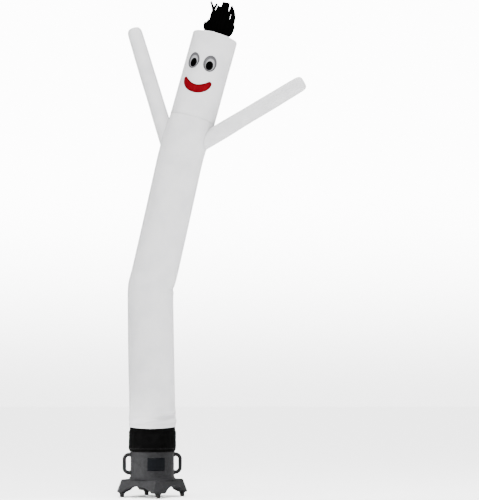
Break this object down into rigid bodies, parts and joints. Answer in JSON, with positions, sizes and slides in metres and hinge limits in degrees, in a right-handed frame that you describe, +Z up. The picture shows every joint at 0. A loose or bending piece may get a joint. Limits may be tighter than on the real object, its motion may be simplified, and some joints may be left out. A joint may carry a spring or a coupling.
{
  "type": "inflatable air dancer on a blower",
  "caption": "White cloth tube figure with arms, face and black hair, blown up over the rim of a small round blower with a handle on each side.",
  "frame": {"origin": "middle of the whole footprint, on the surface that the feet stand on", "axes": "+Z up; -Y towards the viewer; the dancer leans towards +X"},
  "size_m": [1.2416, 0.479, 3.2945],
  "materials": {
    "white_cloth": "thin ripstop nylon, satin",
    "cuff_cloth": "black woven nylon, matt",
    "hair_cloth": "black ripstop nylon, cut edges",
    "eye_cloth": "grey cloth, sewn on",
    "pupil_cloth": "black cloth, sewn on",
    "mouth_cloth": "dark red cloth, sewn on",
    "housing_plastic": "moulded, fine pebble texture",
    "foot_plastic": "moulded, matt",
    "grip_strip": "ribbed strip",
    "bare_plate": "satin black, bare",
    "rivet_metal": "black, satin"
  },
  "bodies": {
    "root": {"body": "white_cloth", "shoulders": "white_cloth", "head": "white_cloth", "arm_left": "white_cloth", "arm_right": "white_cloth", "cuff": "cuff_cloth", "hair": "hair_cloth", "eye_left": "eye_cloth", "eye_right": "eye_cloth", "pupil_left": "pupil_cloth", "pupil_right": "pupil_cloth", "mouth": "mouth_cloth", "blower_housing": "housing_plastic", "handle_left": "housing_plastic", "handle_right": "housing_plastic", "foot_1": "foot_plastic", "foot_2": "foot_plastic", "foot_3": "foot_plastic", "foot_4": "foot_plastic", "grip_band": "grip_strip", "label_plate": "bare_plate", "rivet_1": "rivet_metal", "rivet_2": "rivet_metal", "rivet_3": "rivet_metal", "rivet_4": "rivet_metal", "rivet_5": "rivet_metal", "rivet_6": "rivet_metal", "rivet_7": "rivet_metal", "rivet_8": "rivet_metal"}
  },
  "joints": []
}
